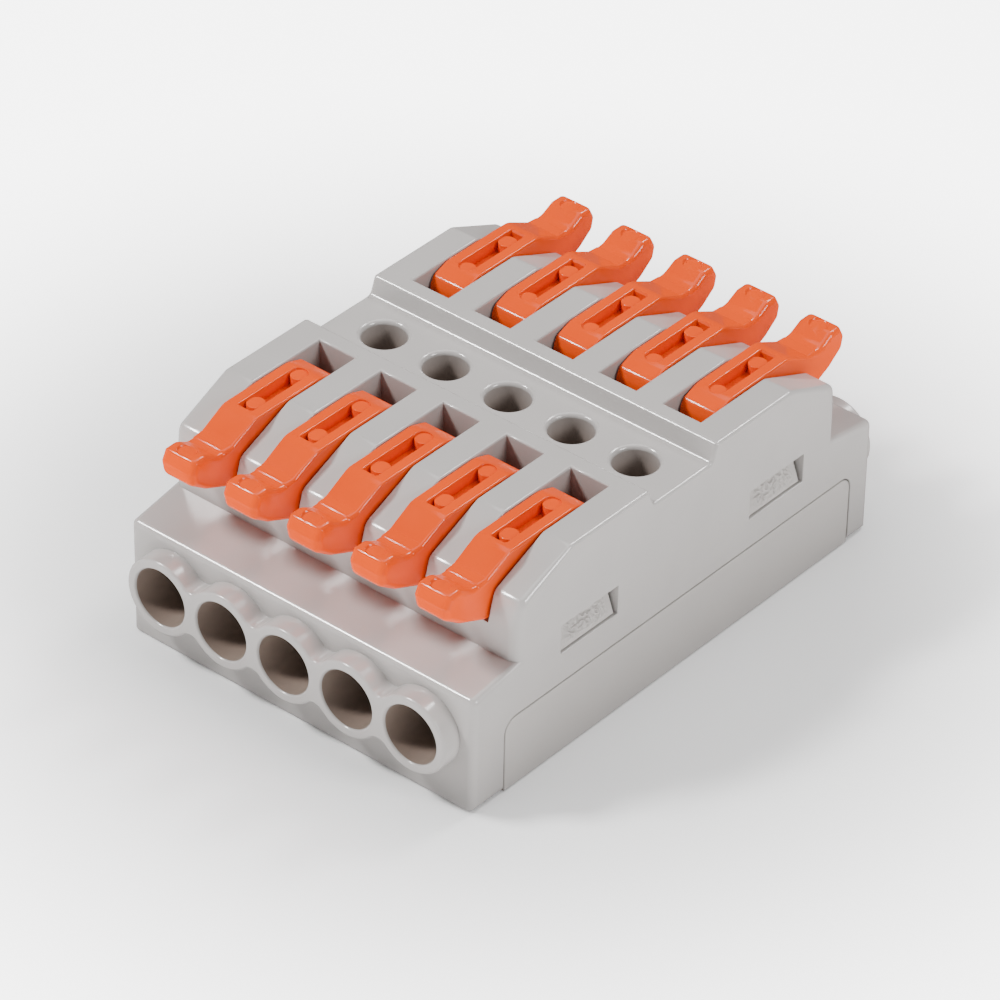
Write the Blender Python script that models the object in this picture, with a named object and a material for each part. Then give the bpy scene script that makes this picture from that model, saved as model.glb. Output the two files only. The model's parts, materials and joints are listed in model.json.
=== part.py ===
"""Lever wire connector: five poles, with a wire port and a lever at both ends of each pole.

Metres, +Z up.  The wires run along Y and the poles stand side by side along X.  The origin
is in the middle of the bottom face.  The front (-Y) and the back (+Y) hold the same parts,
so a place along a wire is given as its distance from the middle, called reach here.
"""
import math

import bmesh
import bpy
from mathutils import Vector

MM = 0.001

# Poles
POLES = 5
PITCH = 5.5 * MM
ENDS = {"front": -1, "back": 1}
GAP = 0.1 * MM                      # clearance between any two pieces

# Housing, outside
HALF_WIDTH = POLES * PITCH / 2 + 1.3 * MM
HALF_LENGTH = 20.97 * MM            # without the collars
HEIGHT = 16.4 * MM
CORNER_RADIUS = 0.55 * MM
TROUGH_FLOOR = 15.05 * MM
BLOCK_HALF_LENGTH = 16.75 * MM      # the raised block that holds the levers
BLOCK_CORNER_RADIUS = 0.9 * MM
LEDGE_INNER = 9.75 * MM             # height of the ledge where it meets the block
LEDGE_OUTER = 9.08 * MM

# Housing, inside
CAVITY_HALF_WIDTH = 2.35 * MM
CAVITY_INNER = 2.4 * MM
CAVITY_OUTER = 15.2 * MM
CAVITY_TOP = 12.2 * MM
SLOT_HALF_WIDTH = 1.58 * MM
SLOT_INNER = 4.8 * MM
SLOT_FLOOR = 12.0 * MM              # where the slot runs out through the wall

# Wire ports and test holes
WIRE_HEIGHT = 5.38 * MM
COLLAR_RADIUS = 2.92 * MM
WEB_RADIUS = 0.9 * MM               # of the hollow between two collars
COLLAR_END = 22.57 * MM
MOUTH_RADIUS = 2.21 * MM
THROAT_RADIUS = 1.6 * MM
TEST_RADIUS = 1.61 * MM
TEST_RIM_RADIUS = 2.0 * MM
ROUND_STEPS = 20

# Bottom cover
COVER_SHIFT = 0.465 * MM            # how far the cover's middle lies behind the housing's
COVER_HALF_LENGTH = 18.225 * MM
COVER_CORNER_RADIUS = 1.0 * MM
COVER_THICKNESS = 1.2 * MM
WING_HEIGHT = 5.63 * MM
WING_THICKNESS = 0.8 * MM
TONGUE_THICKNESS = 0.7 * MM
TONGUE_TOP = 10.3 * MM
WEDGE_BOTTOM = 8.2 * MM
WEDGE_PROUD = 0.72 * MM
WINDOW_REACH = 9.84 * MM            # from the cover's middle to a window's middle
WINDOW_HALF_LENGTH = 2.9 * MM
WINDOW_BOTTOM = 8.1 * MM
WINDOW_TOP = 10.4 * MM
TONGUE_PLAY = 0.28 * MM             # free space behind a tongue, past the gap
POST_HALF_WIDTH = 2.2 * MM
POST_HALF_LENGTH = 2.0 * MM

# Busbar
BAR_BOTTOM = 6.7 * MM
BAR_THICKNESS = 0.8 * MM
BAR_HALF_WIDTH = 1.2 * MM
BAR_HALF_LENGTH = 14.6 * MM

# Cage spring: a fixed root with its loop, and the arm with the cage that the cam pushes down
STRIP = 0.4 * MM
LOOP_REACH = 4.6 * MM
LOOP_RADIUS = 1.75 * MM             # to the middle of the strip
LOOP_HEIGHT = BAR_BOTTOM + BAR_THICKNESS + GAP + STRIP / 2 + LOOP_RADIUS
ROOT_END = 11.5 * MM
LEG_REACH = 13.8 * MM
CAGE_BOTTOM = 5.9 * MM
CAGE_HALF_WIDTH = 2.1 * MM
STRIP_HALF_WIDTH = 1.4 * MM
CAGE_WINDOW_HALF_WIDTH = 1.6 * MM
CAGE_START = 10.8 * MM              # the strip widens to the cage's width from here outwards

# Lever
PIVOT_REACH = 10.0 * MM
PIVOT_HEIGHT = 14.0 * MM
TRUNNION_RADIUS = 0.8 * MM
OPEN_ANGLE = math.radians(85)
ARM_RATIO = 0.19                    # turn of the spring's arm for each turn of the lever
CAM_GAP = 0.12 * MM
CAM_STEPS = 12
LEVER_UNDERSIDE = 12.15 * MM
POCKET_HALF_WIDTH = 0.6 * MM
POCKET_INNER = 8.0 * MM
POCKET_OUTER = 13.95 * MM
POCKET_FLOOR = 15.4 * MM

BEYOND = 2.0 * MM                   # how far a cut runs past the surface it opens
SHARP_ANGLE = math.radians(32)


def pole_x(pole):
    """Centre of a pole, counted from 1 at the -X side."""
    return (pole - (POLES + 1) / 2) * PITCH


def windows():
    """The two windows of a side, as (low, high) along Y."""
    centres = [COVER_SHIFT + end * WINDOW_REACH for end in ENDS.values()]
    return [(centre - WINDOW_HALF_LENGTH, centre + WINDOW_HALF_LENGTH) for centre in centres]


# ---------------------------------------------------------------- outlines

def arc(centre, radius, start, end, steps):
    """Points of an arc, with its angles in degrees."""
    points = []
    for step in range(steps + 1):
        angle = math.radians(start + (end - start) * step / steps)
        points.append((centre[0] + radius * math.cos(angle), centre[1] + radius * math.sin(angle)))
    return points


def rounded(corners, steps=3):
    """Outline through (a, b, radius) corners, each rounded to its radius."""
    points = []
    for index, (a, b, radius) in enumerate(corners):
        corner = Vector((a, b))
        if radius == 0:
            points.append(corner)
            continue
        to_before = (Vector(corners[index - 1][:2]) - corner).normalized()
        to_after = (Vector(corners[(index + 1) % len(corners)][:2]) - corner).normalized()
        half = to_before.angle(to_after) / 2
        centre = corner + (to_before + to_after).normalized() * radius / math.sin(half)
        start = (corner + to_before * radius / math.tan(half) - centre).normalized()
        end = (corner + to_after * radius / math.tan(half) - centre).normalized()
        for step in range(steps + 1):
            points.append(centre + start.slerp(end, step / steps) * radius)
    return points


def mirrored(half):
    """Close an outline given from its middle line outwards, as (reach, height, radius)."""
    return [(-a, b, radius) for a, b, radius in reversed(half)] + list(half)


def strip_outline(path, thickness):
    """Outline of a strip of the given thickness that follows path."""
    left, right = [], []
    for index, point in enumerate(path):
        before = path[max(index - 1, 0)]
        after = path[min(index + 1, len(path) - 1)]
        along = (after[0] - before[0], after[1] - before[1])
        length = math.hypot(*along)
        across = (-along[1] / length * thickness / 2, along[0] / length * thickness / 2)
        left.append((point[0] + across[0], point[1] + across[1]))
        right.append((point[0] - across[0], point[1] - across[1]))
    return left + right[::-1]


# ---------------------------------------------------------------- solids

def solid(bm):
    """Wrap a bmesh in an object that takes part in Booleans."""
    bmesh.ops.recalc_face_normals(bm, faces=bm.faces)
    mesh = bpy.data.meshes.new("solid")
    bm.to_mesh(mesh)
    bm.free()
    item = bpy.data.objects.new("solid", mesh)
    bpy.context.scene.collection.objects.link(item)
    return item


def prism(outline, axis, low, high):
    """Extrude an outline from low to high; it is in (y, z), (x, z) or (x, y) for X, Y or Z."""
    place = {
        "X": lambda a, b, t: (t, a, b),
        "Y": lambda a, b, t: (a, t, b),
        "Z": lambda a, b, t: (a, b, t),
    }[axis]
    bm = bmesh.new()
    rings = [[bm.verts.new(place(a, b, t)) for a, b in outline] for t in (low, high)]
    bm.faces.new(rings[0])
    bm.faces.new(rings[1])
    for index in range(len(outline)):
        after = (index + 1) % len(outline)
        bm.faces.new((rings[0][index], rings[0][after], rings[1][after], rings[1][index]))
    return solid(bm)


def block(low, high):
    """Box between two opposite corners."""
    corners = [(low[0], low[1]), (high[0], low[1]), (high[0], high[1]), (low[0], high[1])]
    return prism(corners, "Z", low[2], high[2])


def turned(profile, axis, centre, steps=ROUND_STEPS):
    """Solid of revolution; profile is (radius, place along axis) from end to end."""
    bm = bmesh.new()
    rings = []
    for radius, along in profile:
        ring = []
        for a, b in arc((0, 0), radius, 0, 360 - 360 / steps, steps - 1):
            if axis == "Y":
                ring.append(bm.verts.new((centre[0] + a, along, centre[2] + b)))
            elif axis == "Z":
                ring.append(bm.verts.new((centre[0] + a, centre[1] + b, along)))
            else:
                ring.append(bm.verts.new((along, centre[1] + a, centre[2] + b)))
        rings.append(ring)
    bm.faces.new(rings[0])
    bm.faces.new(rings[-1])
    for ring, following in zip(rings, rings[1:]):
        for index in range(steps):
            after = (index + 1) % steps
            bm.faces.new((ring[index], ring[after], following[after], following[index]))
    return solid(bm)


def combine(base, others, operation):
    """Apply one exact Boolean of base with all the others, and remove the others."""
    tools = bpy.data.collections.new("tools")
    bpy.context.scene.collection.children.link(tools)
    for other in others:
        tools.objects.link(other)
    modifier = base.modifiers.new("combine", "BOOLEAN")
    modifier.operation = operation
    modifier.operand_type = "COLLECTION"
    modifier.collection = tools
    modifier.solver = "EXACT"
    evaluated = base.evaluated_get(bpy.context.evaluated_depsgraph_get())
    result = bpy.data.meshes.new_from_object(evaluated)
    base.modifiers.clear()
    base.data = result
    for other in others:
        bpy.data.objects.remove(other)
    bpy.data.collections.remove(tools)
    return base


def tidy(mesh):
    """Merge the doubled points that Booleans leave and join faces that lie in one plane."""
    bm = bmesh.new()
    bm.from_mesh(mesh)
    bmesh.ops.remove_doubles(bm, verts=bm.verts, dist=0.000001)
    bmesh.ops.dissolve_limit(bm, angle_limit=math.radians(0.1), verts=bm.verts, edges=bm.edges)
    bmesh.ops.triangulate(bm, faces=bm.faces)
    bm.to_mesh(mesh)
    bm.free()


# ---------------------------------------------------------------- materials and parts

def finish(name, colour, roughness, metallic=0.0):
    """Principled material of one colour."""
    material = bpy.data.materials.new(name)
    material.use_nodes = True
    shader = material.node_tree.nodes["Principled BSDF"]
    shader.inputs["Base Color"].default_value = (*colour, 1)
    shader.inputs["Roughness"].default_value = roughness
    shader.inputs["Metallic"].default_value = metallic
    return material


def part(name, item, material):
    """Turn a finished solid into a named part."""
    tidy(item.data)
    item.name = name
    item.data.name = name
    item.data.materials.clear()
    item.data.materials.append(material)
    item.data.shade_smooth()
    item.data.set_sharp_from_angle(angle=SHARP_ANGLE)
    return item


def placed_copy(name, mesh, location, end):
    """Another object on a shared mesh, turned round for the front end."""
    item = bpy.data.objects.new(name, mesh)
    item.location = location
    item.rotation_euler = (0, 0, math.pi if end < 0 else 0)
    bpy.context.scene.collection.objects.link(item)
    return item


# ---------------------------------------------------------------- housing

def rounded_body(profile, half_length, radius):
    """Side profile as wide as the housing, with its vertical corners rounded."""
    body = prism(rounded(mirrored(profile)), "X", -HALF_WIDTH, HALF_WIDTH)
    plan = [
        (HALF_WIDTH, -half_length, radius),
        (HALF_WIDTH, half_length, radius),
        (-HALF_WIDTH, half_length, radius),
        (-HALF_WIDTH, -half_length, radius),
    ]
    return combine(body, [prism(rounded(plan), "Z", -BEYOND, HEIGHT + BEYOND)], "INTERSECT")


def collar_outline():
    """Front view of the collars round the wire ports, joined by hollow webs."""
    rise = math.sqrt((COLLAR_RADIUS + WEB_RADIUS) ** 2 - (PITCH / 2) ** 2)
    meet = math.degrees(math.atan2(rise, PITCH / 2))
    upper = []
    for pole in range(POLES, 0, -1):
        start = 0 if pole == POLES else meet
        end = 180 if pole == 1 else 180 - meet
        upper += arc((pole_x(pole), 0), COLLAR_RADIUS, start, end, 8)
        if pole > 1:
            web = (pole_x(pole) - PITCH / 2, rise)
            upper += arc(web, WEB_RADIUS, -meet, meet - 180, 4)[1:-1]
    lower = [(x, -z) for x, z in reversed(upper[1:-1])]
    return [(x, WIRE_HEIGHT + z) for x, z in upper + lower]


def housing_outside():
    """Lower body, the raised block that holds the levers, and the collars at both ends."""
    lower = rounded_body([
        (BLOCK_HALF_LENGTH, LEDGE_INNER, 0),
        (HALF_LENGTH, LEDGE_OUTER, 0.45 * MM),
        (HALF_LENGTH, 0, 0.3 * MM),
    ], HALF_LENGTH, CORNER_RADIUS)
    raised = rounded_body([
        (3.0 * MM, TROUGH_FLOOR, 0.3 * MM),
        (3.5 * MM, HEIGHT, 0.25 * MM),
        (11.5 * MM, HEIGHT, 0.8 * MM),
        (16.3 * MM, 14.38 * MM, 0.9 * MM),
        (BLOCK_HALF_LENGTH, LEDGE_INNER - BEYOND, 0),
    ], BLOCK_HALF_LENGTH, BLOCK_CORNER_RADIUS)
    collars = prism(collar_outline(), "Y", -COLLAR_END, COLLAR_END)
    return combine(lower, [raised, collars], "UNION")


def pole_cuts(x, end):
    """Cavity, lever slot, trunnion pocket and wire port at one end of a pole."""
    def reach_block(half_width, inner, outer, bottom, top):
        near, far = sorted((end * inner, end * outer))
        return block((x - half_width, near, bottom), (x + half_width, far, top))

    pocket_radius = TRUNNION_RADIUS + GAP
    pocket = arc((end * PIVOT_REACH, PIVOT_HEIGHT), pocket_radius, 0, 180, 6)
    pocket += [
        (end * PIVOT_REACH - pocket_radius, CAVITY_TOP - GAP),
        (end * PIVOT_REACH + pocket_radius, CAVITY_TOP - GAP),
    ]
    flare = 0.12 * MM
    port = [
        (MOUTH_RADIUS + 2 * flare, end * (COLLAR_END + flare)),
        (MOUTH_RADIUS, end * (COLLAR_END - flare)),
        (THROAT_RADIUS, end * (CAVITY_OUTER + 1.5 * MM)),
        (THROAT_RADIUS, end * (CAVITY_OUTER - GAP)),
    ]
    return [
        reach_block(CAVITY_HALF_WIDTH, CAVITY_INNER, CAVITY_OUTER, 0, CAVITY_TOP),
        reach_block(SLOT_HALF_WIDTH, SLOT_INNER, HALF_LENGTH, SLOT_FLOOR, HEIGHT + BEYOND),
        prism(pocket, "X", x - CAVITY_HALF_WIDTH, x + CAVITY_HALF_WIDTH),
        turned(port, "Y", (x, 0, WIRE_HEIGHT)),
    ]


def middle_cuts(x):
    """Channel for the busbar and its post, and the test hole above it."""
    channel_top = BAR_BOTTOM + BAR_THICKNESS + GAP
    rim = TEST_RIM_RADIUS - TEST_RADIUS
    hole = [
        (TEST_RADIUS, channel_top - GAP),
        (TEST_RADIUS, TROUGH_FLOOR - rim),
        (TEST_RIM_RADIUS, TROUGH_FLOOR),
        (TEST_RIM_RADIUS, TROUGH_FLOOR + rim),
    ]
    channel = block(
        (x - CAVITY_HALF_WIDTH, -CAVITY_INNER - GAP, 0),
        (x + CAVITY_HALF_WIDTH, CAVITY_INNER + GAP, channel_top),
    )
    return [channel, turned(hole, "Z", (x, 0, 0))]


def side_block(side, inner, outer, y_range, z_range):
    """Box at the +X side, or its mirror image at the -X side where side is -1."""
    x_low, x_high = sorted((side * inner, side * outer))
    return block((x_low, y_range[0], z_range[0]), (x_high, y_range[1], z_range[1]))


def wing_outline(growth):
    """Side view of a cover wing, grown outwards for the recess that takes it."""
    front = COVER_SHIFT - COVER_HALF_LENGTH - growth
    back = COVER_SHIFT + COVER_HALF_LENGTH + growth
    top = WING_HEIGHT + growth
    radius = COVER_CORNER_RADIUS + growth
    return rounded([(front, -growth, 0), (back, -growth, 0), (back, top, radius), (front, top, radius)])


def cover_cuts():
    """Recesses for the cover's floor, wings and tongues, and the windows for its wedges."""
    outside = HALF_WIDTH + BEYOND
    cuts = [block(
        (-outside, COVER_SHIFT - COVER_HALF_LENGTH - GAP, -BEYOND),
        (outside, COVER_SHIFT + COVER_HALF_LENGTH + GAP, COVER_THICKNESS + GAP))]
    wing_inner = HALF_WIDTH - WING_THICKNESS - GAP
    pocket_inner = pole_x(POLES) + CAVITY_HALF_WIDTH - GAP
    for side in (-1, 1):
        cuts.append(prism(wing_outline(GAP), "X", *sorted((side * wing_inner, side * outside))))
        for low, high in windows():
            cuts.append(side_block(
                side, pocket_inner, wing_inner + 1.5 * GAP, (low - GAP, high + GAP), (0, TONGUE_TOP + GAP)))
            cuts.append(side_block(
                side, wing_inner, outside, (low, high), (WINDOW_BOTTOM, WINDOW_TOP)))
    return cuts


def build_housing(material):
    body = housing_outside()
    cuts = cover_cuts()
    for pole in range(1, POLES + 1):
        cuts += middle_cuts(pole_x(pole))
        for end in ENDS.values():
            cuts += pole_cuts(pole_x(pole), end)
    return part("upper_housing", combine(body, cuts, "DIFFERENCE"), material)


# ---------------------------------------------------------------- bottom cover

def tongue_outline(side):
    """End view of a snap tongue: its root in the floor and wing, its stem and its wedge."""
    outer = HALF_WIDTH - WING_THICKNESS - GAP / 2
    inner = outer - TONGUE_THICKNESS
    root = COVER_THICKNESS / 2
    corners = [
        (inner, root),
        (HALF_WIDTH - WING_THICKNESS / 2, root),
        (HALF_WIDTH - WING_THICKNESS / 2, WING_HEIGHT - GAP),
        (outer, WING_HEIGHT - GAP),
        (outer, WEDGE_BOTTOM),
        (outer + WEDGE_PROUD, WEDGE_BOTTOM),
        (outer, TONGUE_TOP - GAP),
        (inner, TONGUE_TOP),
    ]
    return [(side * x, z) for x, z in corners]


def build_cover(material):
    """Floor with two flush side wings, four snap tongues and a post under each busbar."""
    tray = prism(wing_outline(0), "X", -HALF_WIDTH, HALF_WIDTH)
    inside = HALF_WIDTH - WING_THICKNESS
    hollow = block(
        (-inside, -HALF_LENGTH, COVER_THICKNESS),
        (inside, HALF_LENGTH, WING_HEIGHT + BEYOND))
    combine(tray, [hollow], "DIFFERENCE")
    pieces = []
    for side in (-1, 1):
        for low, high in windows():
            pieces.append(prism(tongue_outline(side), "Y", low + GAP, high - TONGUE_PLAY))
    for pole in range(1, POLES + 1):
        x = pole_x(pole)
        pieces.append(block(
            (x - POST_HALF_WIDTH, -POST_HALF_LENGTH, COVER_THICKNESS / 2),
            (x + POST_HALF_WIDTH, POST_HALF_LENGTH, BAR_BOTTOM - GAP)))
    return part("bottom_cover", combine(tray, pieces, "UNION"), material)


# ---------------------------------------------------------------- metal parts

def build_busbars(material):
    """Flat bars that join the front and back ports of each pole."""
    radius = 0.4 * MM
    plan = [
        (BAR_HALF_WIDTH, -BAR_HALF_LENGTH, radius),
        (BAR_HALF_WIDTH, BAR_HALF_LENGTH, radius),
        (-BAR_HALF_WIDTH, BAR_HALF_LENGTH, radius),
        (-BAR_HALF_WIDTH, -BAR_HALF_LENGTH, radius),
    ]
    bar = part("busbar_1", prism(rounded(plan, 3), "Z", 0, BAR_THICKNESS), material)
    bar.location = (pole_x(1), 0, BAR_BOTTOM)
    for pole in range(2, POLES + 1):
        placed_copy("busbar_%d" % pole, bar.data, (pole_x(pole), 0, BAR_BOTTOM), 1)


def spring_root():
    """Straight foot on the busbar and the loop that flexes, about the loop's centre."""
    path = [(ROOT_END - LOOP_REACH, -LOOP_RADIUS)]
    path += arc((0, 0), LOOP_RADIUS, 270, 98, 12)
    return prism(strip_outline(path, STRIP), "X", -STRIP_HALF_WIDTH, STRIP_HALF_WIDTH)


def spring_arm():
    """Arm above the loop and the cage that hangs from it, about the loop's centre."""
    bend = 0.6 * MM
    leg = LEG_REACH - LOOP_REACH
    path = [(0, LOOP_RADIUS)]
    path += arc((leg - bend, LOOP_RADIUS - bend), bend, 90, 0, 5)
    path.append((leg, CAGE_BOTTOM - LOOP_HEIGHT))
    arm = prism(strip_outline(path, STRIP), "X", -CAGE_HALF_WIDTH, CAGE_HALF_WIDTH)
    window_bottom = BAR_BOTTOM - GAP - LOOP_HEIGHT
    window_top = LOOP_RADIUS - 2 * STRIP
    cuts = [block(
        (-CAGE_WINDOW_HALF_WIDTH, leg - STRIP, window_bottom),
        (CAGE_WINDOW_HALF_WIDTH, leg + STRIP, window_top))]
    for side in (-1, 1):
        near, far = sorted((side * STRIP_HALF_WIDTH, side * (CAGE_HALF_WIDTH + BEYOND)))
        cuts.append(block(
            (near, -BEYOND, LOOP_RADIUS - STRIP),
            (far, CAGE_START - LOOP_REACH, LOOP_RADIUS + STRIP)))
    return combine(arm, cuts, "DIFFERENCE")


# ---------------------------------------------------------------- lever

def cam_outline():
    """Cam under the nose, about the pivot, so that it follows the arm at every angle.

    When the lever has turned by t, the arm has turned by ARM_RATIO * t, and its top surface
    is a line at a known distance from the pivot.  The cam is the envelope of those lines,
    seen from the lever.
    """
    across = PIVOT_REACH - LOOP_REACH
    up = PIVOT_HEIGHT - LOOP_HEIGHT
    arm_top = LOOP_RADIUS + STRIP / 2
    turning = 1 + ARM_RATIO
    points = []
    for step in range(CAM_STEPS + 1):
        lever = OPEN_ANGLE * step / CAM_STEPS
        arm = ARM_RATIO * lever
        distance = across * math.sin(arm) + up * math.cos(arm) - arm_top - CAM_GAP
        slope = -ARM_RATIO / turning * (across * math.cos(arm) - up * math.sin(arm))
        angle = math.radians(270) - turning * lever
        points.append((
            distance * math.cos(angle) - slope * math.sin(angle),
            distance * math.sin(angle) + slope * math.cos(angle)))
    return points


def lever_outline():
    """Side view of a closed lever, about its pivot."""
    corners = [
        (6.75 * MM, 15.9 * MM, 0.5 * MM),
        (8.2 * MM, HEIGHT, 2.5 * MM),
        (14.5 * MM, HEIGHT, 1.6 * MM),
        (16.6 * MM, 15.36 * MM, 0.6 * MM),
        (17.9 * MM, 15.33 * MM, 2.0 * MM),
        (19.6 * MM, 16.02 * MM, 0.5 * MM),
        (20.4 * MM, 15.72 * MM, 0.3 * MM),
        (20.66 * MM, 15.0 * MM, 0.3 * MM),
        (20.56 * MM, 14.1 * MM, 0.3 * MM),
        (19.2 * MM, 13.1 * MM, 1.5 * MM),
        (16.8 * MM, LEVER_UNDERSIDE, 1.0 * MM),
        (10.9 * MM, LEVER_UNDERSIDE, 0.6 * MM),
    ]
    cam = cam_outline()
    anchors = [cam[-1], *[(a - PIVOT_REACH, b - PIVOT_HEIGHT) for a, b, _ in corners], cam[0]]
    radii = [0, *[radius for _, _, radius in corners], 0]
    rest = rounded([(a, b, radius) for (a, b), radius in zip(anchors, radii)], 3)
    return cam + rest[1:-1]


def build_lever():
    """Lever with its two trunnions and the pocket in its top."""
    half_width = SLOT_HALF_WIDTH - GAP
    body = prism(lever_outline(), "X", -half_width, half_width)
    end = CAVITY_HALF_WIDTH - GAP
    pin = turned([(TRUNNION_RADIUS, -end), (TRUNNION_RADIUS, end)], "X", (0, 0, 0), 16)
    combine(body, [pin], "UNION")
    pocket = block(
        (-POCKET_HALF_WIDTH, POCKET_INNER - PIVOT_REACH, POCKET_FLOOR - PIVOT_HEIGHT),
        (POCKET_HALF_WIDTH, POCKET_OUTER - PIVOT_REACH, HEIGHT + BEYOND - PIVOT_HEIGHT))
    return combine(body, [pocket], "DIFFERENCE")


def build_moving_sets(lever_finish, spring_finish):
    """A lever and its cage spring at each end of every pole."""
    kinds = {
        "lever": (build_lever(), lever_finish, PIVOT_REACH, PIVOT_HEIGHT),
        "spring_root": (spring_root(), spring_finish, LOOP_REACH, LOOP_HEIGHT),
        "spring_cage": (spring_arm(), spring_finish, LOOP_REACH, LOOP_HEIGHT),
    }
    for kind, (pattern, material, reach, height) in kinds.items():
        mesh = part(kind, pattern, material).data
        for end_name, end in ENDS.items():
            for pole in range(1, POLES + 1):
                name = "%s_%s_%d" % (end_name, kind, pole)
                placed_copy(name, mesh, (pole_x(pole), end * reach, height), end)
        bpy.data.objects.remove(pattern)


def main():
    for item in list(bpy.data.objects):
        bpy.data.objects.remove(item)
    grey = finish("housing_grey", (0.46, 0.44, 0.43), 0.3)
    orange = finish("lever_orange", (0.95, 0.12, 0.02), 0.3)
    tinned = finish("tinned_copper", (0.75, 0.70, 0.62), 0.3, 1.0)
    steel = finish("spring_steel", (0.55, 0.55, 0.56), 0.3, 1.0)
    build_housing(grey)
    build_cover(grey)
    build_busbars(tinned)
    build_moving_sets(orange, steel)


main()
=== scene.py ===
"""Looks of the lever wire connector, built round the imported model.

Outlines and solids are in millimetres, in the model's own frame, and a finished piece is
scaled to metres.  The wires run along Y, the poles stand side by side along X, and a place
along a wire is given as its distance from the middle, called reach.
"""
import json
import math

import bmesh
import bpy
from mathutils import Matrix, Vector, noise


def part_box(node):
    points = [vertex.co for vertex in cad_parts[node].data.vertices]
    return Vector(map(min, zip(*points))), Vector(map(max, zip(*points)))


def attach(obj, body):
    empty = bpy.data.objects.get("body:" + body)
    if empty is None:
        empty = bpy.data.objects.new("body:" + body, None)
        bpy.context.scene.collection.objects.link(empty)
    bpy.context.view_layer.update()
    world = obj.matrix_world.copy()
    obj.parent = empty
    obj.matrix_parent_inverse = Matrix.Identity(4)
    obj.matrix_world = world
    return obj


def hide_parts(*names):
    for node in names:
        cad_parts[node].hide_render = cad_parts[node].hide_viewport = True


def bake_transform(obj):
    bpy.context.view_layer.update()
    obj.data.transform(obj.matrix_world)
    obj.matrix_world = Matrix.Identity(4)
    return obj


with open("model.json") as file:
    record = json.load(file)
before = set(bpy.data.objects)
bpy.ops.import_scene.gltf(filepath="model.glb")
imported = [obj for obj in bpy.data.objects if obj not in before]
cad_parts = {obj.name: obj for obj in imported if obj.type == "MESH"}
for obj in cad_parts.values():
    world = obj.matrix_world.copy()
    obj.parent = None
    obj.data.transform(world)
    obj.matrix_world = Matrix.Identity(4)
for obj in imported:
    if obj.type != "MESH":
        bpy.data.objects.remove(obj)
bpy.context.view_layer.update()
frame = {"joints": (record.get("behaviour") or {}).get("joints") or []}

MM = 0.001


# ---------------------------------------------------------------- places taken from the frame

POLES = range(1, 6)
ENDS = {"front": -1, "back": 1}
UPRIGHT = Vector((0, 0, 1))


def corner_mm(node, which):
    """Lowest (0) or highest (1) corner of a CAD node, in millimetres."""
    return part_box(node)[which] / MM


def joint_place(name):
    """A point on a joint's axis, in millimetres."""
    joint = next(joint for joint in frame["joints"] if joint["name"] == name)
    return Vector(joint["pos_m"]) / MM


def busbar_centre(pole):
    return (corner_mm("busbar_%d" % pole, 0).x + corner_mm("busbar_%d" % pole, 1).x) / 2


POLE_CENTRES = {pole: busbar_centre(pole) for pole in POLES}
PITCH = POLE_CENTRES[2] - POLE_CENTRES[1]
HALF_WIDTH = corner_mm("upper_housing", 1).x
HEIGHT = corner_mm("upper_housing", 1).z
COLLAR_END = corner_mm("upper_housing", 1).y
COVER_FRONT = corner_mm("bottom_cover", 0).y
COVER_BACK = corner_mm("bottom_cover", 1).y
COVER_SHIFT = (COVER_FRONT + COVER_BACK) / 2
TONGUE_TOP = corner_mm("bottom_cover", 1).z
BAR_LOW = corner_mm("busbar_3", 0)
BAR_HIGH = corner_mm("busbar_3", 1)
PIVOT = joint_place("back_lever_3_hinge")
LOOP = joint_place("back_cage_3_flex")
CAGE_HIGH = corner_mm("back_spring_cage_3", 1)
CAGE_LOW = corner_mm("back_spring_cage_3", 0)

# ---------------------------------------------------------------- sizes, as in the CAD

GAP = 0.1
BEYOND = 2.0                        # how far a cut runs past the surface it opens
NEAR = 0.01                         # how close a point has to be to lie on a surface
SHARP_ANGLE = 38                    # edges with a larger turn, in degrees, stay sharp

HALF_LENGTH = 20.97
CORNER_RADIUS = 0.55
TROUGH_FLOOR = 15.05
BLOCK_HALF_LENGTH = 16.75
BLOCK_CORNER_RADIUS = 0.9
LEDGE_INNER = 9.75
LEDGE_OUTER = 9.08
CAVITY_HALF_WIDTH = 2.35
CAVITY_INNER = 2.4
CAVITY_OUTER = 15.2
CAVITY_TOP = 12.2
SLOT_HALF_WIDTH = 1.58
SLOT_INNER = 4.8
SLOT_FLOOR = 12.0

WIRE_HEIGHT = 5.38
COLLAR_RADIUS = 2.92
WEB_RADIUS = 0.9
MOUTH_RADIUS = 2.21
MOUTH_FLARE = 0.16
THROAT_RADIUS = 1.6
THROAT_LENGTH = 1.2
TEST_RADIUS = 1.61
TEST_FLARE = 0.32
SLOT_EDGE_RADIUS = 0.18

COVER_THICKNESS = 1.2
COVER_CORNER_RADIUS = 1.0
WING_HEIGHT = 5.63
WING_THICKNESS = 0.8
TONGUE_THICKNESS = 0.7
WEDGE_BOTTOM = 8.2
WEDGE_PROUD = 0.72
WINDOW_REACH = 9.84
WINDOW_HALF_LENGTH = 2.9
WINDOW_BOTTOM = 8.1
WINDOW_TOP = 10.4
TONGUE_PLAY = 0.28
POST_HALF_WIDTH = 2.2
POST_HALF_LENGTH = 2.0

STRIP = 0.4
LOOP_RADIUS = 1.75
ROOT_END = 11.5
STRIP_HALF_WIDTH = 1.4
CAGE_WINDOW_HALF_WIDTH = 1.6
CAGE_START = 10.8

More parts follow.
